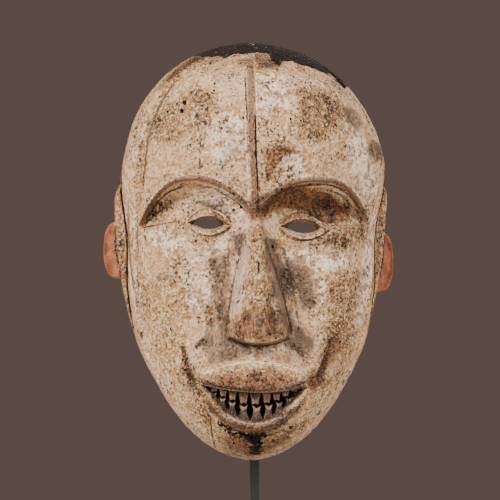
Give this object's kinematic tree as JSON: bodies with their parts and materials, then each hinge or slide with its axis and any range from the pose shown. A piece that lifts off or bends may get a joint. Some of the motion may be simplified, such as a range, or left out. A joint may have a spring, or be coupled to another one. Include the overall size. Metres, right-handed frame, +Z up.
{
  "type": "carved face mask on stand",
  "caption": "Hollow oval face mask carved from wood, with arched brows, pierced slit eyes, wedge nose and bared teeth, held up on a black bar stand.",
  "frame": {"origin": "middle of the underside of the stand's base plate", "axes": "+Z up, the mask looks along -Y, +X to the right as the face is seen"},
  "size_m": [0.1971, 0.1565, 0.3908],
  "materials": {
    "painted_wood": "worn pale clay paint over dark brown wood, rubbed and pitted",
    "black_steel": "satin black"
  },
  "bodies": {
    "root": {"mask": "painted_wood", "stand_base": "black_steel", "stand_rod": "black_steel", "stand_crown_rest": "black_steel", "stand_chin_hook": "black_steel"}
  },
  "joints": []
}
